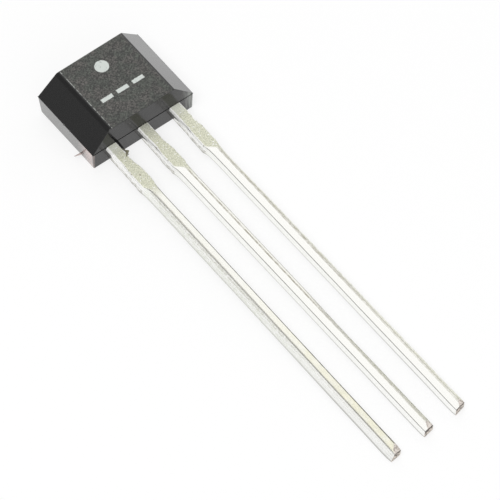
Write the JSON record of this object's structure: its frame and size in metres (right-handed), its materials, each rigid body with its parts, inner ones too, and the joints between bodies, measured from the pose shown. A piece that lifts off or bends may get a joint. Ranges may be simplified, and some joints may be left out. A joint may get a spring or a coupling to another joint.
{
  "type": "hall effect sensor",
  "caption": "Flat moulded through-hole magnetic sensor: black faceted epoxy body on straight tinned leads, with lead frame, chip and bond wires inside.",
  "frame": {"origin": "middle of the body, on its back face", "axes": "+X along the row of leads, from the supply lead to the output lead; +Y from the lead tips towards the body; +Z out of the marked face"},
  "size_m": [0.0043, 0.0179, 0.0016],
  "materials": {
    "epoxy": "black moulding epoxy, matt on the marked face and smooth on the facets and ends",
    "tinned_lead": "copper alloy strip, tin plated, satin at the root and bright where it was dipped",
    "silicon": "polished silicon",
    "die_adhesive": "silver-filled adhesive",
    "gold_wire": "bright gold wire"
  },
  "bodies": {
    "root": {"epoxy_body": "epoxy", "lead_supply": "tinned_lead", "lead_ground": "tinned_lead", "lead_output": "tinned_lead", "hall_die": "silicon", "die_attach": "die_adhesive", "bond_wire_supply": "gold_wire", "bond_wire_ground": "gold_wire", "bond_wire_output": "gold_wire"}
  },
  "joints": []
}
